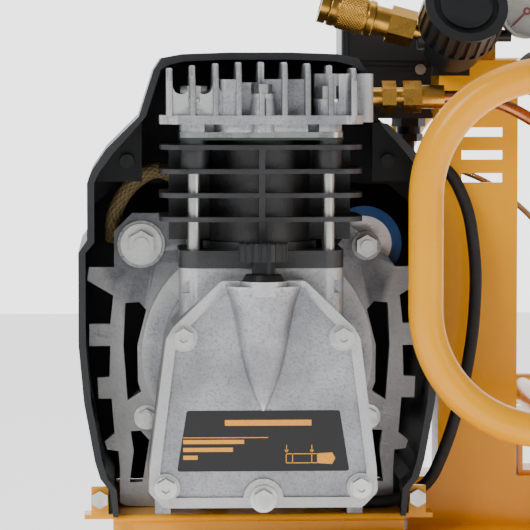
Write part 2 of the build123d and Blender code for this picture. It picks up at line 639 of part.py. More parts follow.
def ellipse_at(z, rx, ry):
    """Level ellipse on the cover's face."""
    return Pos(0, COVER_FACE_Y + 2, z) * Ellipse(rx, ry)


def crankcase_cover():
    """Cast cover: raised rim, bolt bosses and the tapered oil filler."""
    plate = case_slab(0, COVER_FACE_Y - 1.2, COVER_BACK_Y)
    pocket = case_slab(6.5, COVER_FACE_Y - 3, COVER_FACE_Y + 0.8)
    pads = [rod_y(x, z, 8.8, COVER_FACE_Y - 1.2, COVER_BACK_Y) for x, z in COVER_BOLTS]
    pads.append(rod_y(0, DRAIN_Z_PLUG, 12.5, COVER_FACE_Y - 1.2, COVER_BACK_Y))
    plate = (plate - pocket) + (join(pads) & case_slab(0, COVER_FACE_Y - 3, COVER_BACK_Y))
    sections = [ellipse_at(262, 1.4, 2.4), ellipse_at(284, 10.5, 7.5), ellipse_at(306, 15.6, 12)]
    sections += [ellipse_at(326, 19.5, 15), ellipse_at(340, 24.5, 17)]
    spout = loft(sections) & block(-60, 60, -170, COVER_BACK_Y, 200, 400)
    spout = spout & (case_slab(0, -170, COVER_BACK_Y))
    boss = rod_z(0, FILL_Y, 14.9, 334, FILL_Z) & block(-60, 60, -170, COVER_BACK_Y, 200, 400)
    spout = spout + boss
    cover = plate + spout
    cover = cover - rod_z(0, FILL_Y, 8.2, 329, 360) - rod_z(0, FILL_Y, 3.2, 300, 330)
    cover = cover - block(-2.5, 2.5, FILL_Y, COVER_BACK_Y + 1, 300, 318)
    for x, z in COVER_BOLTS:
        cover = cover - rod_y(x, z, 3.3, -150, -120)
    return cover - rod_y(0, DRAIN_Z_PLUG, 4.2, -150, COVER_FACE_Y + 7)


def cover_parts():
    """Cover, its gasket, bolts, drain plug and label."""
    save_pump("crankcase", crankcase())
    save_pump("crankcase_cover", crankcase_cover())
    front = Vector(0, -1, 0)
    bolts = []
    for x, z in COVER_BOLTS:
        seat = COVER_FACE_Y - 1.2
        washer = rod_y(x, z, 7.0, seat - 1.4, seat)
        head = hex_on(Vector(x, seat - 1.4, z), front, 11, 0, 5.4)
        socket = hex_on(Vector(x, seat - 6.8, z), front, 5, -2.6, 1)
        bolts.append((washer + head + rod_y(x, z, 3, seat - 3, -110)) - socket)
    save_pump("cover_bolts", join(bolts))
    seat = COVER_FACE_Y - 1.2
    plug = rod_y(0, DRAIN_Z_PLUG, 8.5, seat - 2, seat) + rod_y(0, DRAIN_Z_PLUG, 4, seat, COVER_FACE_Y + 6)
    plug = plug + hex_on(Vector(0, seat - 2, DRAIN_Z_PLUG), front, 11, 0, 5)
    save_pump("drain_plug", plug)
    face = COVER_FACE_Y + 0.8
    label = slab([(-47.7, 262), (47.7, 262), (53.8, 224), (-53.8, 224)], face - 0.35, face)
    save_pump("oil_label", corners(label, Axis.Y, 1.5))


def gaskets():
    """Gasket behind the cover, and the one under the valve plate."""
    opening = case_slab(8, -130, -120) & block(-80, 80, -130, -120, 200, 336)
    cover_gasket = case_slab(0, CASE_FRONT_Y - 1, CASE_FRONT_Y) - opening
    for x, z in COVER_BOLTS:
        cover_gasket = cover_gasket - rod_y(x, z, 3.3, -130, -120)
    head_gasket = square_plate(52, 38, 9, CYL_TOP_Z, CYL_TOP_Z + 1.6) - rod_z(0, CYL_Y, 26, 400, 450)
    save_pump("gaskets", cover_gasket + head_gasket)


def square_plate(half_x, half_y, radius, z0, z1):
    """Level plate round the cylinder's axis with stud holes."""
    plate = corners(block(-half_x, half_x, CYL_Y - half_y, CYL_Y + half_y, z0, z1), Axis.Z, radius)
    for side_x in (-1, 1):
        for side_y in (-1, 1):
            plate = plate - rod_z(side_x * STUD_X, CYL_Y + side_y * STUD_Y, 4.2, z0 - 1, z1 + 1)
    return plate


def cylinder():
    """Iron cylinder: foot flange, four wide fins, front rib and top bosses."""
    body = square_plate(52, FIN_HALF_Y, 12, CYL_BASE_Z, CYL_BASE_Z + 11)
    body = body + rod_z(0, CYL_Y, 32, CYL_BASE_Z, CYL_TOP_Z)
    body = body + rod_z(0, CYL_Y, 36, CYL_BASE_Z + 11, CYL_BASE_Z + 16)
    for index in range(4):
        z = FIN_FIRST_Z + index * FIN_PITCH
        fin = block(-FIN_HALF_X, FIN_HALF_X, CYL_Y - FIN_HALF_Y, CYL_Y + FIN_HALF_Y, z - 1.5, z + 1.5)
        body = body + corners(fin, Axis.Z, 14)
    for side_x in (-1, 1):
        for side_y in (-1, 1):
            low = FIN_FIRST_Z + 2 * FIN_PITCH
            body = body + rod_z(side_x * STUD_X, CYL_Y + side_y * STUD_Y, 9, low, CYL_TOP_Z)
    body = body + block(-2, 2, CYL_Y - FIN_HALF_Y, CYL_Y - 28, CYL_BASE_Z + 11, 426)
    body = body + block(-2, 2, CYL_Y + 28, CYL_Y + FIN_HALF_Y, CYL_BASE_Z + 11, 426)
    for side in (-1, 1):
        body = body + block(side * 44 - 14, side * 44 + 14, CYL_Y - 2, CYL_Y + 2, 366, 426)
    for side_x in (-1, 1):
        for side_y in (-1, 1):
            body = body - rod_z(side_x * STUD_X, CYL_Y + side_y * STUD_Y, 4.3, 340, 440)
    return body - rod_z(0, CYL_Y, BORE_R, 340, 440)


def head_fin(index):
    """One upright fin of the head; its upper front corner is rounded off."""
    x = (index - 4) * HEAD_FIN_PITCH
    top = HEAD_TOP_Z - 0.24 * (index - 4) ** 2
    half = HEAD_HALF_Y
    profile = [(CYL_Y - half, 445), (CYL_Y - half + 2, top - 7), (CYL_Y - half + 8, top)]
    profile += [(CYL_Y + half - 8, top), (CYL_Y + half - 2, top - 7), (CYL_Y + half, 445)]
    face = make_face(Plane.YZ * Polyline(*profile, close=True))
    face = fillet(face.vertices().group_by(Axis.Z)[1:], 4)
    fin = Pos(x - HEAD_FIN_HALF, 0, 0) * extrude(face, amount=2 * HEAD_FIN_HALF, dir=(1, 0, 0))
    return fillet(fin.edges().filter_by(Axis.Y).group_by(Axis.Z)[-1], 1.2)


def cylinder_head():
    """Cast head: lower neck with bosses, flange, nine fins, ports and bolt towers."""
    neck = corners(block(-51, 51, CYL_Y - 37, CYL_Y + 37, HEAD_BASE_Z, 441), Axis.Z, 9)
    neck = neck - block(-36, -24, CYL_Y - 45, CYL_Y - 27, HEAD_BASE_Z - 1, 440)
    neck = neck - block(29, 36, CYL_Y - 45, CYL_Y - 27, HEAD_BASE_Z - 1, 440)
    neck = neck + rod_z(1, CYL_Y - 33, 8, HEAD_BASE_Z, 445) + rod_z(-15, CYL_Y - 25, 15, HEAD_BASE_Z, 441)
    flange = corners(block(-64, 64, CYL_Y - HEAD_HALF_Y, CYL_Y + HEAD_HALF_Y, 440, 445.5), Axis.Z, 12)
    head = neck + flange + join([head_fin(index) for index in range(9)])
    fin_x = [(index - 4) * HEAD_FIN_PITCH for index in range(9)]
    for low, high in zip(fin_x[:3], fin_x[1:]):
        web = block(low, high, CYL_Y - 39, CYL_Y + 39, 445, 464)
        head = head + (web - rod_y((low + high) / 2, 464, 5.2, -130, 0))
    head = head + block(fin_x[3], fin_x[4], CYL_Y - 30, CYL_Y + 30, 445, 466)
    head = head + block(fin_x[4], fin_x[6], CYL_Y - 26, CYL_Y + 30, 445, 468)
    head = head + corners(block(-27, -13, CYL_Y - 40, CYL_Y - 16, 445, 468), Axis.Z, 5)
    head = head + corners(block(34, 71, -104, -40, 441, 471.5), Axis.Z, 4) + rod_z(50, -105, 9, 441, 471.5)
    tower_y = HEAD_HALF_Y - 9
    tower = Pos(1, CYL_Y - tower_y, 451.5) * Cone(9, 7, 15)
    tower = tower - block(-0.6, 2.6, CYL_Y - tower_y - 12, CYL_Y - tower_y - 5, 440, 456)
    head = head + tower + Pos(1, CYL_Y + tower_y, 451.5) * Cone(9, 7, 15)
    for side_x in (-1, 1):
        for side_y in (-1, 1):
            x = side_x * STUD_X
            y = CYL_Y + side_y * STUD_Y
            head = head + rod_z(x, y, 9.5, 445, HEAD_SEAT_Z)
            head = head - rod_z(x, y, 10.6, HEAD_SEAT_Z, 490) - rod_z(x, y, 4.2, 430, 480)
    for side in (-1, 1):
        y = CYL_Y + side * tower_y
        head = head - rod_z(1, y, 8, 459, 490) - rod_z(1, y, 3.1, 444, 470)
    head = head - rod_x(PORT_Y, PORT_Z, 6.2, 55, 80) - rod_y(-20, 461, 8.1, -45, -10)
    return head - rod_z(0, CYL_Y, 18, HEAD_BASE_Z - 1, 443)


def head_parts():
    """Head, valve plate, bolts and intake filter."""
    save_pump("cylinder_head", cylinder_head())
    plate = square_plate(52, 38, 9, CYL_TOP_Z + 1.6, HEAD_BASE_Z)
    ports = [rod_z(x, CYL_Y, 4, 420, 440) for x in (-10, 10)]
    save_pump("valve_plate", plate - join(ports))
    up = Vector(0, 0, 1)
    bolts = []
    for side_x in (-1, 1):
        for side_y in (-1, 1):
            x = side_x * STUD_X
            y = CYL_Y + side_y * STUD_Y
            washer_top = HEAD_SEAT_Z + 1.8
            head = rod_z(x, y, 10, HEAD_SEAT_Z, washer_top)
            head = head + hex_on(Vector(x, y, washer_top), up, 14.5, 0, 8)
            bolts.append(head + rod_z(x, y, 4, 335, HEAD_SEAT_Z))
    for side in (-1, 1):
        y = CYL_Y + side * (HEAD_HALF_Y - 9)
        bolts.append(hex_on(Vector(1, y, 459), up, 10, 0, 6) + rod_z(1, y, 3, 445, 459))
    save_pump("head_bolts", join(bolts))
    can = rod_y(-20, 461, 8, -42, -30) + rod_y(-20, 461, 16.5, -30, 2) + rod_y(-20, 461, 13, 2, 8)
    rings = [rod_y(-20, 461, 18, y, y + 1.6) - rod_y(-20, 461, 15.6, y - 1, y + 3) for y in (-25, -17, -9)]
    save_pump("intake_filter", can - join(rings))


def dipstick():
    """Filler plug: ribbed knob, flare, neck and a short gauge blade."""
    knob = rod_z(0, FILL_Y, 15.5, 355.5, 367)
    groove = rod_z(16.2, 0, 1.5, 350, 370)
    grips = [Pos(0, FILL_Y, 0) * Rot(0, 0, turn) * groove for turn in range(0, 360, 20)]
    knob = fillet((knob - join(grips)).edges().group_by(Axis.Z)[-1], 0.8)
    neck = rod_z(0, FILL_Y, 7.4, 343, 355.5) + Pos(0, FILL_Y, 345.4) * Cone(13.5, 11, 3.8)
    thread = rod_z(0, FILL_Y, 8.12, 331, 344) + rod_z(0, FILL_Y, 2.2, 302, 332)
    return knob + neck + thread


cover_parts()
gaskets()
save_pump("cylinder", cylinder())
head_parts()
save_pump("dipstick", dipstick())


# ---- air line and controls ----

def on_line(origin, axis, distance):
    """Point at a distance along an axis."""
    return origin + axis * distance


def fittings():
    """Brass: head outlet with its compression nut, and the tank's check valve."""
    x = PUMP_X
    out = rod_x(PORT_Y, PORT_Z, 6, x + 58, x + 79.5) + hex_x(x + 79.5, x + 88.5, 18, PORT_Z, PORT_Y)
    out = out + rod_x(PORT_Y, PORT_Z, 6, x + 88.5, x + 93) + hex_x(x + 93, x + 105, 18, PORT_Z, PORT_Y)
    out = out + rod_x(PORT_Y, PORT_Z, 7.6, x + 105, x + 119.5)
    out = out - rod_x(PORT_Y, PORT_Z, 4.1, x + 100, x + 125) - rod_x(PORT_Y, PORT_Z, 2.5, x + 50, x + 101)
    seat = tank_height(math.hypot(*CHECK_AT)) + 8
    at = Vector(CHECK_AT[0], CHECK_AT[1], seat)
    up = Vector(0, 0, 1)
    check = rod_on(at, up, 8, -14, 0) + hex_on(at, up, 22, 0, 12) + rod_on(at, up, 8, 12, 26)
    check = check + hex_on(at, up, 18, 26, 36)
    check = check + rod_x(CHECK_AT[1], seat + 19, 4, CHECK_AT[0] - 20, CHECK_AT[0])
    check = check - rod_on(at, up, 4.1, 24, 40) - rod_on(at, up, 3, -20, 25)
    check = check - rod_x(CHECK_AT[1], seat + 19, 2.1, CHECK_AT[0] - 25, CHECK_AT[0] - 12)
    save("brass_fittings", out + check)
    return seat


CHECK_SEAT = fittings()
DISCHARGE = [(PUMP_X + 101, PORT_Y, PORT_Z), (-25 + 85, PORT_Y, PORT_Z), (100, PORT_Y, PORT_Z - 22),
             (136, -58, PORT_Z - 60), (150, -55, 340), (150, -55, CHECK_SEAT + 26)]
UNLOADER = [(-5, 65, 445), (-5, 65, 428), (8, 72, 414), (40, 72, 410), (76, 56, 396),
            (108, 30, 366), (122, 4, 320), (118, -22, 262), (110, -46, 216),
            (112, -55, CHECK_SEAT + 19), (CHECK_AT[0] - 13, -55, CHECK_SEAT + 19)]
CABLE = [(-60, -49, 192.4), (-30, -50, 192.5), (0, -50, 192.9), (22, -50, 204), (34, -51, 232), (44, -50, 266),
         (51, -47, 305), (53, -45, 345), (48, -44, 382), (38, -42, 405), (26.3, -31, 415), (21.5, -8, 417),
         (21, 20, 415), (18, 48, 409), (18, 65, 412), (18, 65, 428)]
LEAD = [(-40, -12, 391), (-52, -15, 403), (-66, -18, 408), (-82, -18, 398), (-92, -16, 381), (-94, -6, 362)]


def tubes():
    """Discharge pipe, unloader pipe, motor cable and sleeved motor leads."""
    save("discharge_tube", tube_along(DISCHARGE, 4.0, "discharge tube"))
    save("unloader_tube", tube_along(UNLOADER, 2.0, "unloader tube"))
    save("motor_cable", tube_along(CABLE, CABLE_R, "motor cable"))
    save_pump("lead_sleeve", tube_along(LEAD, 5.2, "lead sleeve"))


def pressure_switch():
    """Switch base, ribbed cover, its glands and the lever at the back."""
    base = corners(block(-30, 35, 35, 95, 441, 452), Axis.Z, 5) - rod_z(-5, 65, 2.1, 430, 447)
    save("pressure_switch_base", base + gland())
    cover = corners(block(-30, 35, 35, 95, 452, 505), Axis.Z, 5)
    cover = fillet(cover.edges().group_by(Axis.Z)[-1], 3)
    panel = corners(block(-25, 30, 30, 36.2, 480, 500), Axis.Y, 2) - block(-60, 60, 20, 33.8, 400, 520)
    cover = (cover + panel) - block(-40, 45, 30, 36, 472, 476.5) - block(-27, 32, 40, 92, 440, 501)
    cover = cover - rod_y(2, 480, 5.05, 85, 100) - rod_y(23.5, 474, 4, 30, 38.4)
    save("pressure_switch_cover", cover)
    lever = rod_y(2, 480, 5, 92, 95.3) + rod_y(2, 480, 13, 95.3, 99) + block(-2, 6, 96, 106, 466, 496)
    save("switch_lever", lever)


def gland():
    """Cable gland under the switch."""
    down = Vector(0, 0, -1)
    at = Vector(18, 65, 441)
    body = hex_on(at, down, 20, 0, 6) + rod_on(at, down, 8.6, 6, 11) + hex_on(at, down, 17, 11, 16)
    return body - rod_on(at, down, CABLE_R, 13, 20)


def manifold():
    """Supply block beside the switch, with the relief valve, its ring and a pipe to the regulator."""
    up = Vector(0, 0, 1)
    block_y0 = 50
    body = block(36, 76, block_y0, 80, 470, 500) + rod_x(65, 485, 7, 35, 36)
    body = chamfer(body.edges().filter_by(Axis.Z), 1.5)
    supply = rod_y(42, 487, 6.5, -14, block_y0)
    valve_at = Vector(54, 66, 500)
    valve = hex_on(valve_at, up, 14, 0, 8) + rod_on(valve_at, up, 5.5, 8, 22)
    valve = valve - rod_on(valve_at, up, 2.05, 14, 30)
    gauge_stem = rod_z(68, 58, 4, 500, 518) + rod_y(68, 518, 4, 46, 58) + Pos(68, 58, 518) * Sphere(4)
    save("manifold", (body + supply + valve + gauge_stem))
    ring = Pos(54, 66, 533) * Rot(90, 0, 0) * Torus(8, 1.2)
    save("safety_ring", ring + rod_on(valve_at, up, 2, 14.5, 25.6))


def regulator():
    """Regulator body behind its ribbed knob, with the outlet gauge's stem."""
    p = REG_POINT
    a = REG_AXIS
    body = rod_on(p, a, 20.5, -4, 20) + rod_on(p, a, 12, -16, -4)
    body = body + block(26, 50, -26, -10, 470, 494)
    body = body + rod_on(on_line(p, a, 6), Vector(-1, 0, 0), 8, 0, 24)
    stem = rod_x(-34.2, 496, 4, 50, 76)
    body = body + stem - CONTROL_STAND - rod_y(42, 487, 6.6, -14, 60)
    body = body - rod_on(GAUGES[1][1], Vector(0, -1, 0), GAUGES[1][2], -4, 14)
    body = body - rod_on(COUPLER_POINT, COUPLER_AXIS, 6.0, -8, 3)
    body = body - hex_on(COUPLER_POINT, COUPLER_AXIS, 21, 3, 20)
    body = body - rod_on(p, a, 5.05, 10, 30)
    save("regulator_body", body)
    knob = rod_on(p, a, 27, 23, 49)
    plane = Plane(origin=on_line(p, a, 36), z_dir=a)
    cuts = [plane * Rot(0, 0, turn) * Pos(28.2, 0, 0) * Cylinder(2.4, 22) for turn in range(0, 360, 15)]
    knob = knob - join(cuts)
    knob = knob - (rod_on(p, a, 21, 47.2, 50) - rod_on(p, a, 17, 46, 51))
    save("regulator_knob", knob + rod_on(p, a, 5, 12, 23))


def coupler():
    """Quick coupler: hexagon body, ball race nose and the sleeve that slides back."""
    p = COUPLER_POINT
    a = COUPLER_AXIS
    body = hex_on(p, a, 21, 3, 20) + rod_on(p, a, 6, -8, 3) + rod_on(p, a, 9.5, 20, 66)
    body = body + rod_on(p, a, 11.4, 61, 66) - rod_on(p, a, 6.0, 30, 70) - rod_on(p, a, 3.5, 10, 31)
    sleeve = rod_on(p, a, 12.5, 30, 60) - rod_on(p, a, 9.58, 25, 70)
    grooves = [rod_on(p, a, 14, s, s + 1.6) - rod_on(p, a, 11.7, s - 1, s + 3) for s in (34, 38, 42, 46)]
    return body, sleeve - join(grooves)


GAUGES = [("tank", Vector(68, 42, 522), 17.0), ("outlet", Vector(86, -34, 512), 18.0)]


def gauges():
    """Two dial gauges: case, dial face, needle and lens."""
    front = Vector(0, -1, 0)
    cases = []
    lenses = []
    for name, at, r in GAUGES:
        case = rod_on(at, front, r, -4, 14) - rod_on(at, front, r - 1.6, 0, 20)
        boss = rod_on(at, front, 1.0, 0, 4.5)
        cases.append(case + boss)
        lenses.append(rod_on(at, front, r - 1.7, 10, 12))
        needle = rod_on(at, front, 2.6, 3.0, 4.4) - rod_on(at, front, 1.06, 0, 10)
        pointer = block(-0.7, 0.7, at.Y - 4.0, at.Y - 3.2, 2.2, r - 5)
        needle = needle + Pos(at.X, 0, at.Z) * Rot(0, 225, 0) * pointer
        save(f"{name}_needle", needle)
    save("gauge_cases", join(cases))
    save("gauge_lenses", join(lenses))


tubes()
pressure_switch()
manifold()
regulator()
COUPLER_BODY, COUPLER_SLEEVE = coupler()
save("coupler_body", COUPLER_BODY)
save("coupler_sleeve", COUPLER_SLEEVE)
gauges()
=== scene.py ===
# %% Load the frame
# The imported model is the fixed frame: every CAD node is already in place, in metres.
import json
import math

import bpy
import numpy as np
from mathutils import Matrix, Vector


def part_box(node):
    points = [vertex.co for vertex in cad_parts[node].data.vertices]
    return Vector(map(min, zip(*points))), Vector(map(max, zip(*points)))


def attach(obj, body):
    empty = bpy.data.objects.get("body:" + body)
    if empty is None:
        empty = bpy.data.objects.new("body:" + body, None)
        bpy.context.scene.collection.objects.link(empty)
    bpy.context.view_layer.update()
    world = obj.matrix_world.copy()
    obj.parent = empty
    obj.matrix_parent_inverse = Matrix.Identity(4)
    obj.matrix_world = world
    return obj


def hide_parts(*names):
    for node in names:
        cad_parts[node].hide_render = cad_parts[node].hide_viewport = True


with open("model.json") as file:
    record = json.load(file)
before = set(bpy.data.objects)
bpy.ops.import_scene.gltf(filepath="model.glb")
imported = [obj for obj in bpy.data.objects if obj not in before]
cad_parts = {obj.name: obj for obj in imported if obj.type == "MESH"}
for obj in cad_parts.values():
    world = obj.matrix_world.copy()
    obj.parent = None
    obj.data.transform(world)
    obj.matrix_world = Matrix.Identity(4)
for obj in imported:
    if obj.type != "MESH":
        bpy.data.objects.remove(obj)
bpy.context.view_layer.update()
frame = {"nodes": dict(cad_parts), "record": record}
NODES = frame["nodes"]
MM = 0.001

# %% [markdown]
# ## Camera and studio
# The pump's cover is the sharpest thing in view, so the camera aims at its middle.
# A long lens from two metres away keeps the fins almost parallel.
# The camera stands a little higher than the cover and looks slightly down.

# %% Camera
cover_low, cover_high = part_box("crankcase_cover")
pump_x = (cover_low[0] + cover_high[0]) / 2
TARGET = Vector((pump_x + 0.001, -0.136, 0.353))
DISTANCE = 2.0
EYE_Z = 0.479
SIDE = math.radians(2.5)

camera_data = bpy.data.cameras.new("studio_camera")
camera_data.lens = 219.0
camera_data.sensor_width = 36.0
camera = bpy.data.objects.new("studio_camera", camera_data)
bpy.context.scene.collection.objects.link(camera)
camera.location = (
    TARGET.x - DISTANCE * math.sin(SIDE),
    TARGET.y - DISTANCE * math.cos(SIDE),
    EYE_Z,
)
camera.rotation_euler = (TARGET - camera.location).to_track_quat("-Z", "Y").to_euler()
bpy.context.scene.camera = camera
print("camera at", [round(v, 3) for v in camera.location])

# %% [markdown]
# ## Colour and node helpers
# Colours are written as sRGB hex, because that is what colour pickers show.
# Cycles works in linear light, so one function converts them.
# `node` adds one shader node and fills its inputs, and a tuple of (node, output) makes a link.


# %% Colour and node helpers
def linear(hex_code):
    """Linear RGBA of an sRGB hex code: each channel is undone by the sRGB curve."""
    channels = [int(hex_code[i:i + 2], 16) / 255 for i in (1, 3, 5)]
    undone = [c / 12.92 if c <= 0.04045 else ((c + 0.055) / 1.055) ** 2.4 for c in channels]
    return (*undone, 1.0)


def node(tree, kind, settings=None, **inputs):
    """Add a node; settings are its own properties, and inputs are values or links."""
    made = tree.nodes.new(kind)
    for key, value in (settings or {}).items():
        setattr(made, key, value)
    for key, value in inputs.items():
        name = key.replace("_", " ")
        socket = made.inputs[name]
        if isinstance(value, bpy.types.NodeSocket):
            tree.links.new(value, socket)
        else:
            socket.default_value = value
    return made


def new_material(name):
    """Empty material, its tree, its Principled node and object-space coordinates."""
    material = bpy.data.materials.new(name)
    material.use_nodes = True
    tree = material.node_tree
    shader = tree.nodes["Principled BSDF"]
    place = node(tree, "ShaderNodeTexCoord").outputs["Object"]
    return material, tree, shader, place


def noise(tree, place, size, detail=4.0, rough=0.55):
    """Noise whose blobs are about `size` metres across."""
    values = {"Vector": place, "Scale": 1.0 / size, "Detail": detail, "Roughness": rough}
    return node(tree, "ShaderNodeTexNoise", **values).outputs[0]


def ramp(tree, value, low, high, out_low, out_high):
    """Map low..high to out_low..out_high and clamp it."""
    limits = {"From_Min": low, "From_Max": high, "To_Min": out_low, "To_Max": out_high}
    return node(tree, "ShaderNodeMapRange", Value=value, **limits).outputs[0]


def blend_colours(tree, factor, first, second):
    """Mix two colours; either may be a hex code or a socket."""
    made = node(tree, "ShaderNodeMix", {"data_type": "RGBA"})
    tree.links.new(factor, made.inputs[0])
    for slot, value in ((6, first), (7, second)):
        if isinstance(value, str):
            made.inputs[slot].default_value = linear(value)
        else:
            tree.links.new(value, made.inputs[slot])
    return made.outputs[2]


def bumped(tree, shader, height, depth, strength=1.0, over=None):
    """Turn a height into a normal; depth is in metres."""
    made = node(tree, "ShaderNodeBump", Height=height, Distance=depth, Strength=strength)
    if over is not None:
        tree.links.new(over, made.inputs["Normal"])
    tree.links.new(made.outputs[0], shader.inputs["Normal"])
    return made.outputs[0]


def edges(tree, low=0.51, high=0.56):
    """About 1 on sharp outer edges and 0 on flats, from the mesh's pointiness."""
    point = node(tree, "ShaderNodeNewGeometry").outputs["Pointiness"]
    return ramp(tree, point, low, high, 0.0, 1.0)


print("helpers ready")

# %% [markdown]
# ## Metals
# A shot-blasted casting is bright but not shiny: its skin is a fine field of dents about
# 0.7 mm apart, so the highlight breaks up into grains. Sharp edges get a painted highlight, and the dents
# stay grey.
# Real lathe lines are too fine to show. Blender's wave repeats every 2 * pi / (20 * scale)
# metres, so a scale of 0.05 / line draws them about six times as far apart.


# %% Cast metals
def blasted_casting(name, bright, dull, grain=0.0007, metallic=0.85, rough=0.46):
    """Aluminium die casting after shot blasting: dented grain, soft cloudy tone, painted highlight on sharp
    edges.
    """
    material, tree, shader, place = new_material(name)
    fine = noise(tree, place, grain, 3.0, 0.6)
    cloud = noise(tree, place, 0.045, 4.0, 0.6)
    speck = noise(tree, place, grain * 2.2, 2.0, 0.7)
    tone = blend_colours(tree, ramp(tree, cloud, 0.35, 0.68, 0.0, 1.0), dull, bright)
    spotted = blend_colours(tree, ramp(tree, speck, 0.5, 0.7, 0.0, 0.5), tone, "#6E6F73")
    # Painted highlight: sharp outer edges are lightened towards a pale grey.
    casting_edge_highlight = blend_colours(tree, ramp(tree, edges(tree), 0.0, 1.0, 0.0, 0.5), spotted, "#D9D9D7")
    tree.links.new(casting_edge_highlight, shader.inputs["Base Color"])
    tree.links.new(ramp(tree, speck, 0.3, 0.7, rough - 0.08, rough + 0.12), shader.inputs["Roughness"])
    shader.inputs["Metallic"].default_value = metallic
    wide = bumped(tree, shader, speck, 0.0003, 0.7)
    bumped(tree, shader, fine, 0.0002, 0.8, wide)
    return material


def painted_iron(name):
    """Sand-cast iron under black heat-resistant paint: 1 mm sand grain and satin paint."""
    material, tree, shader, place = new_material(name)
    sand = noise(tree, place, 0.0013, 5.0, 0.7)
    cloud = noise(tree, place, 0.03, 3.0, 0.5)
    tone = blend_colours(tree, ramp(tree, cloud, 0.35, 0.7, 0.0, 1.0), "#141416", "#242528")
    # Painted highlight: sharp fin edges are lightened towards a mid grey.
    iron_edge_highlight = blend_colours(tree, ramp(tree, edges(tree, 0.53, 0.62), 0.0, 1.0, 0.0, 0.3), tone, "#4A4A4C")
    tree.links.new(iron_edge_highlight, shader.inputs["Base Color"])
    tree.links.new(ramp(tree, sand, 0.3, 0.7, 0.26, 0.46), shader.inputs["Roughness"])
    shader.inputs["Specular IOR Level"].default_value = 0.6
    bumped(tree, shader, sand, 0.0004, 0.7)
    return material


LATHE_WAVE = 0.05


def turned_metal(name, colour, dark, rough=0.24, line=0.00025, axis="X"):
    """Bar stock turned on a lathe: fine tool lines round the work and faint stains."""
    material, tree, shader, place = new_material(name)
    bands = {"Vector": place, "Scale": LATHE_WAVE / line, "Distortion": 1.2}
    lines = node(tree, "ShaderNodeTexWave", {"bands_direction": axis}, **bands).outputs[1]
    stain = noise(tree, place, 0.012, 4.0, 0.6)
    tone = blend_colours(tree, ramp(tree, stain, 0.4, 0.72, 0.0, 0.6), colour, dark)
    tree.links.new(tone, shader.inputs["Base Color"])
    tree.links.new(ramp(tree, stain, 0.3, 0.7, rough - 0.06, rough + 0.14), shader.inputs["Roughness"])
    shader.inputs["Metallic"].default_value = 1.0
    bumped(tree, shader, lines, 0.00002, 0.5)
    return material


print("metal recipes ready")

# %% [markdown]
# ## Coatings, plastics and rubber
# Powder coat melts into a skin with a slow orange-peel ripple, two or three millimetres across.
# Moulded plastic takes a spark-eroded grain from its tool, with grains about half a millimetre apart.


# %% Coatings, plastics and rubber
def powder_coat(name, colour, shade, rough=0.24):
    """Powder coat on steel: orange peel, slight tone change and a clear, soft highlight."""
    material, tree, shader, place = new_material(name)
    peel = noise(tree, place, 0.0028, 2.0, 0.4)
    cloud = noise(tree, place, 0.09, 3.0, 0.5)
    dust = noise(tree, place, 0.0011, 2.0, 0.6)
    tone = blend_colours(tree, ramp(tree, cloud, 0.3, 0.7, 0.0, 1.0), colour, shade)
    dusty = blend_colours(tree, ramp(tree, dust, 0.7, 0.8, 0.0, 0.2), tone, "#F2D79A")
    tree.links.new(dusty, shader.inputs["Base Color"])
    tree.links.new(ramp(tree, cloud, 0.3, 0.7, rough - 0.04, rough + 0.08), shader.inputs["Roughness"])
    shader.inputs["Specular IOR Level"].default_value = 0.25
    shader.inputs["Coat Weight"].default_value = 0.1
    shader.inputs["Coat Roughness"].default_value = 0.12
    bumped(tree, shader, peel, 0.00008, 0.5)
    return material


def moulded_plastic(name, colour, pale, grain=0.0005, rough=0.46, depth=0.00007):
    """Injection moulding with an eroded grain; sharp edges get a slight painted highlight."""
    material, tree, shader, place = new_material(name)
    skin = noise(tree, place, grain, 3.0, 0.6)
    cloud = noise(tree, place, 0.06, 3.0, 0.5)
    tone = blend_colours(tree, ramp(tree, cloud, 0.3, 0.75, 0.0, 1.0), colour, pale)
    # Painted highlight: sharp edges are lightened a little towards grey.
    plastic_edge_highlight = blend_colours(tree, ramp(tree, edges(tree), 0.0, 1.0, 0.0, 0.2), tone, "#4C4D50")
    tree.links.new(plastic_edge_highlight, shader.inputs["Base Color"])
    tree.links.new(ramp(tree, cloud, 0.3, 0.7, rough - 0.07, rough + 0.1), shader.inputs["Roughness"])
    shader.inputs["Specular IOR Level"].default_value = 0.35
    bumped(tree, shader, skin, depth, 0.6)
    return material


def rubber(name, colour="#151515"):
    """Moulded rubber: dull, with a bloom of pale dust in its large patches."""
    material, tree, shader, place = new_material(name)
    bloom = noise(tree, place, 0.014, 5.0, 0.65)
    skin = noise(tree, place, 0.0009, 3.0, 0.6)
    tone = blend_colours(tree, ramp(tree, bloom, 0.5, 0.75, 0.0, 0.5), colour, "#3A3A3A")
    tree.links.new(tone, shader.inputs["Base Color"])
    tree.links.new(ramp(tree, bloom, 0.3, 0.7, 0.6, 0.85), shader.inputs["Roughness"])
    bumped(tree, shader, skin, 0.0001, 0.6)
    return material


def clear_lens(name):
    """Clear moulded lens with faint haze from cleaning."""
    material, tree, shader, place = new_material(name)
    haze = noise(tree, place, 0.006, 4.0, 0.6)
    tree.links.new(ramp(tree, haze, 0.4, 0.7, 0.02, 0.12), shader.inputs["Roughness"])
    shader.inputs["Base Color"].default_value = linear("#FAFCFD")
    shader.inputs["Transmission Weight"].default_value = 0.97
    shader.inputs["IOR"].default_value = 1.49
    return material


print("coating and plastic recipes ready")

# %% [markdown]
# ## One material for each real material
# Every CAD node names a material slot in its record. The recipes above fill one material per slot,
# and two nodes that are made of the same stuff share it.

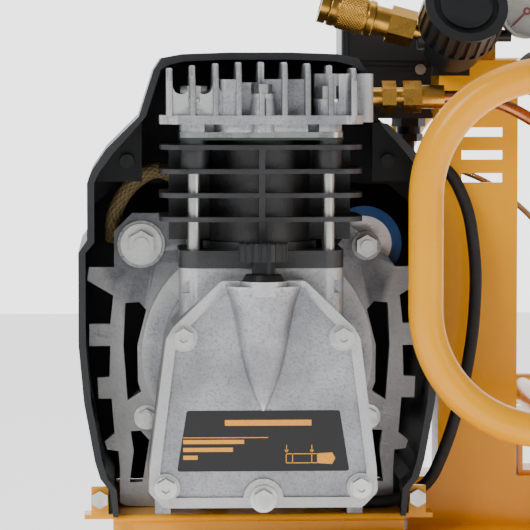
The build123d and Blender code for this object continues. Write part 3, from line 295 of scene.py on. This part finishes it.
# %% Fill the material slots
MATERIALS = {
    # Warm yellow powder coat over bent and folded steel
    "yellow_powder_coat": powder_coat("yellow_powder_coat", "#F2A800", "#E89A00"),
    # Black powder coat over pressed steel brackets
    "black_tank_paint": powder_coat("black_tank_paint", "#0E0E0E", "#181818", 0.35),
    # Injection-moulded shroud with a coarse eroded grain
    "black_shroud_plastic": moulded_plastic(
        "black_shroud_plastic", "#0F1012", "#191B1E", 0.0007, 0.44, 0.0001),
    # Smooth moulded plastic for the switch, knobs and filler plug
    "black_switch_plastic": moulded_plastic(
        "black_switch_plastic", "#090A0B", "#131416", 0.0004, 0.34, 0.00003),
    "red_plastic": moulded_plastic("red_plastic", "#A80D12", "#BC1A1E", 0.0004, 0.32, 0.00003),
    # Shrunk blue film round the capacitor
    "blue_sleeve": moulded_plastic("blue_sleeve", "#0B5CB8", "#1F7BD2", 0.0025, 0.2, 0.00004),
    # Bright die casting after shot blasting: head, crankcase, cover, rod
    "cast_aluminium": blasted_casting("cast_aluminium", "#B4B5B8", "#8C8D91"),
    # Duller sand-tumbled casting of the motor's end plates
    "dull_cast_aluminium": blasted_casting("dull_cast_aluminium", "#8D8E92", "#636468", 0.0009, 0.8, 0.52),
    # Drawn aluminium can and pipe
    "can_aluminium": turned_metal("can_aluminium", "#DADCDE", "#B9BBBE", 0.28, 0.0004, "Z"),
    "black_cast_iron": painted_iron("black_cast_iron"),
    "machined_steel": turned_metal("machined_steel", "#B7B9BC", "#8A8C8F", 0.26),
    # Bright zinc plating on bolts and nuts
    "zinc_steel": turned_metal("zinc_steel", "#D3D4D2", "#A9AAA6", 0.3, 0.0006),
    "lamination_steel": turned_metal("lamination_steel", "#5A5C60", "#3C3D40", 0.45, 0.0005, "Y"),
    "copper": turned_metal("copper", "#C07A50", "#7E4729", 0.3, 0.0006, "Z"),
    "brass": turned_metal("brass", "#C99A48", "#8E6729", 0.25, 0.0003),
    "rubber_black": rubber("rubber_black"),
    "cable_jacket": rubber("cable_jacket", "#101010"),
    "braided_sleeve": None,
    "label_film": moulded_plastic("label_film", "#050506", "#0B0B0C", 0.0009, 0.36, 0.00001),
    "green_gasket": moulded_plastic("green_gasket", "#14281A", "#1D3623", 0.0006, 0.6),
    "gauge_lens": clear_lens("gauge_lens"),
}
slots = {entry["node"]: entry["material_slot"] for entry in frame["record"]["subparts"]}
for name, part in NODES.items():
    chosen = MATERIALS.get(slots[name])
    if chosen is None:
        continue
    part.data.materials.clear()
    part.data.materials.append(chosen)
print("materials filled:", len(MATERIALS))

# %% [markdown]
# ## Surfaces from arrays
# A new piece is a grid of points worked out by numpy in one step, then handed to Blender.
# `grid_mesh` joins neighbouring points into four-sided faces, and closes either direction if asked.


# %% Surface helpers
def grid_mesh(name, points, wrap_u=False, wrap_v=False):
    """Object from points[u, v, xyz]; faces join each cell of the grid."""
    count_u, count_v = points.shape[:2]
    index = np.arange(count_u * count_v).reshape(count_u, count_v)
    if wrap_u:
        index = np.vstack([index, index[:1]])
    if wrap_v:
        index = np.hstack([index, index[:, :1]])
    quads = np.stack([index[:-1, :-1], index[1:, :-1], index[1:, 1:], index[:-1, 1:]], axis=-1).reshape(-1, 4)
    mesh = bpy.data.meshes.new(name)
    mesh.from_pydata(points.reshape(-1, 3), [], quads.tolist())
    mesh.shade_smooth()
    made = bpy.data.objects.new(name, mesh)
    bpy.context.scene.collection.objects.link(made)
    return made


def joined(name, pieces):
    """One object from several (points, faces) pairs; each piece's faces count on from the last."""
    points = np.vstack([piece_points for piece_points, _ in pieces])
    starts = np.cumsum([0] + [len(piece_points) for piece_points, _ in pieces])
    shifted = [np.array(faces) + start for (_, faces), start in zip(pieces, starts)]
    mesh = bpy.data.meshes.new(name)
    mesh.from_pydata(points, [], [face for faces in shifted for face in faces.tolist()])
    made = bpy.data.objects.new(name, mesh)
    bpy.context.scene.collection.objects.link(made)
    return made


def dress(piece, material, body):
    """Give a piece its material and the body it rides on."""
    piece.data.materials.append(material)
    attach(piece, body)
    return piece


def smooth_line(points, count):
    """Points along a smooth curve through a few given ones (Catmull-Rom spline)."""
    p = np.array(points, float)
    p = np.vstack([2 * p[0] - p[1], p, 2 * p[-1] - p[-2]])
    t = np.linspace(0, len(points) - 1 - 1e-6, count)
    i = t.astype(int)
    s = (t - i)[:, None]
    a, b, c, d = p[i], p[i + 1], p[i + 2], p[i + 3]
    slope = (c - a) * s
    bend = (2 * a - 5 * b + 4 * c - d) * s ** 2
    twist = (3 * b - a - 3 * c + d) * s ** 3
    return 0.5 * (2 * b + slope + bend + twist)


def frames_along(line):
    """Side and up vectors at each point of a line: both square to its tangent and to each other."""
    tangent = np.gradient(line, axis=0)
    tangent /= np.linalg.norm(tangent, axis=1)[:, None]
    side = np.cross(tangent, np.array([0.0, 1.0, 0.0]))
    side /= np.linalg.norm(side, axis=1)[:, None]
    return side, np.cross(side, tangent)


print("surface helpers ready")

# %% [markdown]
# ## Braided sleeve
# The motor's leads run in a varnished glass braid. Two sets of strands wind opposite ways,
# and the surface rises where a strand is on top: the height is |sin| of whichever set is over
# there, and the sets swap over and under wherever the product of their sines changes sign.

# %% Braided sleeve
PUMP_PLANE = -90
LEAD = [(-40, -12, 391), (-52, -15, 403), (-66, -18, 408), (-82, -18, 398), (-92, -16, 381), (-94, -6, 362)]
STRANDS = 10
WINDS = 16
BRAID_R = 0.0046
STRAND_RISE = 0.0006
lead_line = smooth_line([((x + PUMP_PLANE) * MM, y * MM, z * MM) for x, y, z in LEAD], 260)
side, up = frames_along(lead_line)
around = np.linspace(0, 2 * np.pi, 96, endpoint=False)
along = np.linspace(0, 1, len(lead_line))
turn_a = STRANDS * around[None, :] + 2 * np.pi * WINDS * along[:, None]
turn_b = STRANDS * around[None, :] - 2 * np.pi * WINDS * along[:, None]
over = np.sin(turn_a) * np.sin(turn_b)
ridge = np.abs(np.sin(turn_a / 2)) * (over > 0) + np.abs(np.sin(turn_b / 2)) * (over <= 0)
radius = BRAID_R + STRAND_RISE * ridge
ring = np.cos(around)[None, :, None] * side[:, None, :] + np.sin(around)[None, :, None] * up[:, None, :]
braid = grid_mesh("lead_braid", lead_line[:, None, :] + radius[..., None] * ring, wrap_v=True)
braid_height = braid.data.attributes.new("braid_height", "FLOAT", "POINT")
braid_height.data.foreach_set("value", ridge.reshape(-1).astype(np.float32))


def glass_braid():
    """Varnished glass braid: tan strands, with painted shade in the gaps between them."""
    material, tree, shader, place = new_material("braided_sleeve")
    height = node(tree, "ShaderNodeAttribute", {"attribute_name": "braid_height"}).outputs["Fac"]
    fibre = noise(tree, place, 0.0004, 3.0, 0.6)
    # Painted shade: the low places between strands are coloured dark brown, the raised strands tan.
    tone = blend_colours(tree, ramp(tree, height, 0.1, 0.8, 0.0, 1.0), "#4A3B24", "#A8905F")
    mottled = blend_colours(tree, ramp(tree, fibre, 0.45, 0.7, 0.0, 0.5), tone, "#7C6640")
    tree.links.new(mottled, shader.inputs["Base Color"])
    shader.inputs["Roughness"].default_value = 0.62
    bumped(tree, shader, fibre, 0.00012, 0.7)
    return material


MATERIALS["braided_sleeve"] = glass_braid()
dress(braid, MATERIALS["braided_sleeve"], "base")
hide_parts("lead_sleeve")
print("braid points", len(braid.data.vertices))

# %% [markdown]
# ## Printed marks on the label
# The label carries a plain dipstick outline with its two level arrows, and short bars
# where a real one has its data. The marks lie 0.05 mm proud of the film.

# %% Label marks
label_low, label_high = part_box("oil_label")
MARK_PROUD = 0.00005
MARK_Y = label_low[1] - MARK_PROUD
label_mid = (label_low[0] + label_high[0]) / 2
LINE = 0.5
TEXT_LEFT = -50.0
ROW_WIDTHS = (38.0, 31.0, 9.0)
ROW_TOP_Z = 242.6
ROW_STEP = 4.9
RULE_Z = 244.9
STICK_Z = 232.0
STICK_HALF = 3.1
STICK_LEFT = 14.0
STICK_RIGHT = 34.0
BAND_XS = (14.0, 18.0, 30.0, 33.6)
TIP = [(34, -3.1), (43, -3.6), (45, 0), (43, 3.6), (34, 3.1)]
ARROW_XS = (14.5, 30.3)


def flat_bar(x0, x1, z0, z1):
    """Rectangle on the label, in millimetres from its middle and the tank's floor."""
    corners = [(x0, z0), (x1, z0), (x1, z1), (x0, z1)]
    return [(label_mid + x * MM, MARK_Y, z * MM) for x, z in corners], [[0, 1, 2, 3]]


def flat_shape(points):
    """Filled outline on the label, given anticlockwise as the reader sees it."""
    return [(label_mid + x * MM, MARK_Y, z * MM) for x, z in points], [list(range(len(points)))]


def text_bars():
    """Heading bar, three short rows and a ruled line, where a real label has words."""
    bars = [flat_bar(-24.0, 30.0, 252.6, 256.2)]
    for row, width in enumerate(ROW_WIDTHS):
        z = ROW_TOP_Z - row * ROW_STEP
        bars.append(flat_bar(TEXT_LEFT, TEXT_LEFT + width, z - 1.4, z + 1.2))
    return bars + [flat_bar(TEXT_LEFT, 3.0, RULE_Z, RULE_Z + LINE)]


def stick_outline():
    """The dipstick from its side: two long lines, four bands across and a tapered tip."""
    low, high = STICK_Z - STICK_HALF, STICK_Z + STICK_HALF
    shapes = [flat_bar(STICK_LEFT, STICK_RIGHT, z, z + LINE) for z in (low, high - LINE)]
    shapes += [flat_bar(x, x + LINE, low, high) for x in BAND_XS]
    return shapes + [flat_shape([(x, STICK_Z + rise) for x, rise in TIP])]


def level_arrow(x):
    """Downward arrow over the dipstick: a thin stem and a head of three points."""
    stem = flat_bar(x - 0.2, x + 0.2, STICK_Z + 3.6, STICK_Z + 8.5)
    head = [(x - 1.3, STICK_Z + 5.4), (x, STICK_Z + 3.3), (x + 1.3, STICK_Z + 5.4)]
    return [stem, flat_shape(head)]


marks = text_bars() + stick_outline()
for arrow_x in ARROW_XS:
    marks += level_arrow(arrow_x)
label_marks = joined("label_marks", marks)


def amber_ink():
    """Screen-printed amber ink: almost flat, with the mesh's faint unevenness."""
    material, tree, shader, place = new_material("amber_ink")
    uneven = noise(tree, place, 0.0008, 3.0, 0.6)
    tone = blend_colours(tree, ramp(tree, uneven, 0.4, 0.7, 0.0, 1.0), "#F0A31C", "#E0911A")
    tree.links.new(tone, shader.inputs["Base Color"])
    shader.inputs["Roughness"].default_value = 0.4
    return material


dress(label_marks, amber_ink(), "base")
print("label marks", len(label_marks.data.polygons))

# %% [markdown]
# ## Gauge dials
# Each gauge has a white enamelled dial: a disc of rings, and tick marks from 225 degrees round
# to 135 degrees past the top. Long ticks stand at every fifth one.

# %% Gauge dials
GAUGES = {
    "tank": (Vector((0.068, 0.042, 0.522)), 0.017),
    "outlet": (Vector((0.086, -0.034, 0.512)), 0.018),
}
DIAL_PROUD = 0.0005


def dial_face(centre, r):
    """White disc: rings of points at radius r * sqrt(k)."""
    rings = np.linspace(0.0, 1.0, 12)[:, None] ** 0.5
    angles = np.linspace(0, 2 * np.pi, 72, endpoint=False)[None, :]
    x = centre.x + r * rings * np.cos(angles)
    z = centre.z + r * rings * np.sin(angles)
    y = np.full_like(x, centre.y - DIAL_PROUD)
    return np.stack([x, y, z], axis=-1)


def enamel():
    """White baked enamel with faint yellowing."""
    material, tree, shader, place = new_material("dial_enamel")
    age = noise(tree, place, 0.008, 3.0, 0.5)
    tone = blend_colours(tree, ramp(tree, age, 0.4, 0.7, 0.0, 1.0), "#F5F5F0", "#E9E6DA")
    tree.links.new(tone, shader.inputs["Base Color"])
    shader.inputs["Roughness"].default_value = 0.35
    return material


ENAMEL = enamel()
TICK_COUNT = 31
DIAL_MARGIN = 0.0022
TICK_PROUD = 0.0007
TICK_OUTER = 0.0030
TICK_INNER = {True: 0.0062, False: 0.0046}
TICK_HALF_WIDTH = {True: 0.00028, False: 0.00016}
for name, (centre, r) in GAUGES.items():
    dial = grid_mesh(f"{name}_dial", dial_face(centre, r - DIAL_MARGIN), wrap_v=True)
    dress(dial, ENAMEL, "base")
    ticks = []
    for i in range(TICK_COUNT):
        angle = math.radians(225 - 270 * i / (TICK_COUNT - 1))
        long_tick = i % 5 == 0
        inner = r - TICK_INNER[long_tick]
        outer = r - TICK_OUTER
        half = TICK_HALF_WIDTH[long_tick]
        along_x, along_z = math.cos(angle), math.sin(angle)
        quad = [(inner, -half), (outer, -half), (outer, half), (inner, half)]
        spots = [(centre.x + out * along_x - wide * along_z, centre.y - TICK_PROUD,
                  centre.z + out * along_z + wide * along_x) for out, wide in quad]
        ticks.append((spots, [[0, 1, 2, 3]]))
    tick_marks = joined(f"{name}_ticks", ticks)
    dress(tick_marks, MATERIALS["label_film"], "base")
print("dials", list(GAUGES))

# %% [markdown]
# ## Knurled coupler sleeve
# The sleeve is a body of revolution: its radius is a profile over the distance s along the axis.
# The grip's diamond knurl is the product of two sine ridges that wind opposite ways,
# h(s, a) = depth * |sin(n a / 2 + k s) * sin(n a / 2 - k s)|, and it fades out at both ends.

# %% Knurled coupler sleeve
COUPLER_POINT = np.array([0.015, -0.038, 0.499])
TILT = math.radians(15)
COUPLER_AXIS = np.array([-math.cos(TILT), 0.0, math.sin(TILT)])
SLEEVE_S = (0.030, 0.060)
SLEEVE_R = 0.0124
BORE_R = 0.00962
KNURL_COUNT = 36
KNURL_DEPTH = 0.0006
BAND_HALF = 0.0085
BAND_FADE = 0.0004
GROOVE_AT = 0.0098
GROOVE_HALF = 0.0007
CHAMFER_AT = 0.0142
CHAMFER_LENGTH = 0.0008
CUT_DEPTH = 0.0007


def knurled_sleeve():
    """Closed ring of points: out over the knurled skin, and back along the bore."""
    s = np.linspace(*SLEEVE_S, 120)
    a = np.linspace(0, 2 * np.pi, 288, endpoint=False)[None, :]
    mid = (SLEEVE_S[0] + SLEEVE_S[1]) / 2
    offset = np.abs(s - mid)
    band = np.clip((BAND_HALF - offset) / BAND_FADE, 0, 1)
    groove = np.clip(1 - np.abs(offset - GROOVE_AT) / GROOVE_HALF, 0, 1)
    chamfer = np.clip((offset - CHAMFER_AT) / CHAMFER_LENGTH, 0, 1)
    pitch = KNURL_COUNT / (2 * SLEEVE_R)
    wave_1 = np.sin(KNURL_COUNT / 2 * a + pitch * s[:, None])
    wave_2 = np.sin(KNURL_COUNT / 2 * a - pitch * s[:, None])
    knurl = np.abs(wave_1 * wave_2) * band[:, None]
    cuts = (CUT_DEPTH * groove + CUT_DEPTH * chamfer)[:, None]
    skin = SLEEVE_R - KNURL_DEPTH + KNURL_DEPTH * knurl - cuts
    bore = np.full((2, a.shape[1]), BORE_R)
    r = np.vstack([skin, bore])[..., None]
    along = np.concatenate([s, SLEEVE_S[::-1]])[:, None, None]
    up = np.array([math.sin(TILT), 0.0, math.cos(TILT)])
    side = np.cross(COUPLER_AXIS, up)
    round_it = np.cos(a)[..., None] * up + np.sin(a)[..., None] * side
    return COUPLER_POINT + along * COUPLER_AXIS + r * round_it


sleeve = grid_mesh("knurled_sleeve", knurled_sleeve()[:, ::-1], wrap_u=True, wrap_v=True)
dress(sleeve, MATERIALS["brass"], "coupler_sleeve")
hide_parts("coupler_sleeve")
print("sleeve points", len(sleeve.data.vertices))

# %% [markdown]
# ## Weld at the tank's middle
# The two dishes meet in a band, and a machine weld runs along its upper edge.
# Each pulse of the arc leaves one ripple, so the bead's radius is a row of rounded steps,
# b(t) = b0 * (1 + 0.16 * |sin(n t / 2)|), with one ripple every 2.4 mm.

# %% Tank weld
BAND_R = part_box("tank_upper_shell")[1][0]
WELD_IN = 0.0022
WELD_Z = 0.0990
BEAD_R = 0.0014
SWELL = 0.16
RIPPLE = 0.0024
STEPS_PER_RIPPLE = 6


def ripple_bead():
    """Ring of circles whose size steps up and down once for each arc pulse."""
    centre_r = BAND_R - WELD_IN
    count = round(2 * np.pi * centre_r / RIPPLE)
    t = np.linspace(0, 2 * np.pi, count * STEPS_PER_RIPPLE, endpoint=False)[:, None]
    a = np.linspace(0, 2 * np.pi, 14, endpoint=False)[None, :]
    b = BEAD_R * (1 + SWELL * np.abs(np.sin(count * t / 2)))
    r = centre_r + b * np.cos(a)
    return np.stack([r * np.cos(t), r * np.sin(t), WELD_Z + b * np.sin(a)], axis=-1)


weld = grid_mesh("tank_weld", ripple_bead()[:, ::-1], wrap_u=True, wrap_v=True)
dress(weld, MATERIALS["yellow_powder_coat"], "base")
print("weld points", len(weld.data.vertices))

# %% [markdown]
# ## Studio
# A pale floor and three large soft lights. The key light stands high at the left, so that each
# fin and rib throws a soft shadow to the right. The surround is a white room that is lit behind
# the object and dimmer in front of it, so dark plastics stay dark and the outline stays clean.

# %% Studio
FLOOR = 4.0
floor_points = FLOOR * np.array([[[-1, -1, 0], [-1, 1, 0]], [[1, -1, 0], [1, 1, 0]]])
floor = grid_mesh("floor", floor_points)


def pale_floor():
    """Matt white sheet that glows a little, so that it runs into the white surround."""
    material, tree, shader, place = new_material("pale_floor")
    cloud = noise(tree, place, 0.4, 2.0, 0.5)
    tree.links.new(blend_colours(tree, cloud, "#F4F4F4", "#FAFAFA"), shader.inputs["Base Color"])
    shader.inputs["Roughness"].default_value = 0.8
    shader.inputs["Emission Color"].default_value = linear("#FFFFFF")
    shader.inputs["Emission Strength"].default_value = 1.3
    return material


floor.data.materials.append(pale_floor())

FRONT_GLOW = 0.2
BACK_GLOW = 3.0
GLOW_FROM = 0.35
GLOW_TO = 0.9
world = bpy.data.worlds.new("white_surround")
bpy.context.scene.world = world
world.use_nodes = True
background = world.node_tree.nodes["Background"]
background.inputs["Color"].default_value = (1.0, 1.0, 1.0, 1.0)
direction = node(world.node_tree, "ShaderNodeTexCoord").outputs["Generated"]
split = node(world.node_tree, "ShaderNodeSeparateXYZ", Vector=direction)
glow = ramp(world.node_tree, split.outputs["Y"], GLOW_FROM, GLOW_TO, FRONT_GLOW, BACK_GLOW)
world.node_tree.links.new(glow, background.inputs["Strength"])


def soft_light(name, place, aim, size, power):
    """Large square light pointed at a spot."""
    data = bpy.data.lights.new(name, "AREA")
    data.shape = "SQUARE"
    data.size = size
    data.energy = power
    lamp = bpy.data.objects.new(name, data)
    bpy.context.scene.collection.objects.link(lamp)
    lamp.location = place
    lamp.rotation_euler = (Vector(aim) - lamp.location).to_track_quat("-Z", "Y").to_euler()
    return lamp


AIM = (pump_x, -0.1, 0.35)
soft_light("key_light", (-0.9, -1.3, 1.5), AIM, 0.7, 20)
soft_light("fill_light", (1.3, -1.2, 0.7), AIM, 0.9, 5)
soft_light("top_light", (0.0, 0.1, 1.9), AIM, 1.0, 8)
print("studio ready")
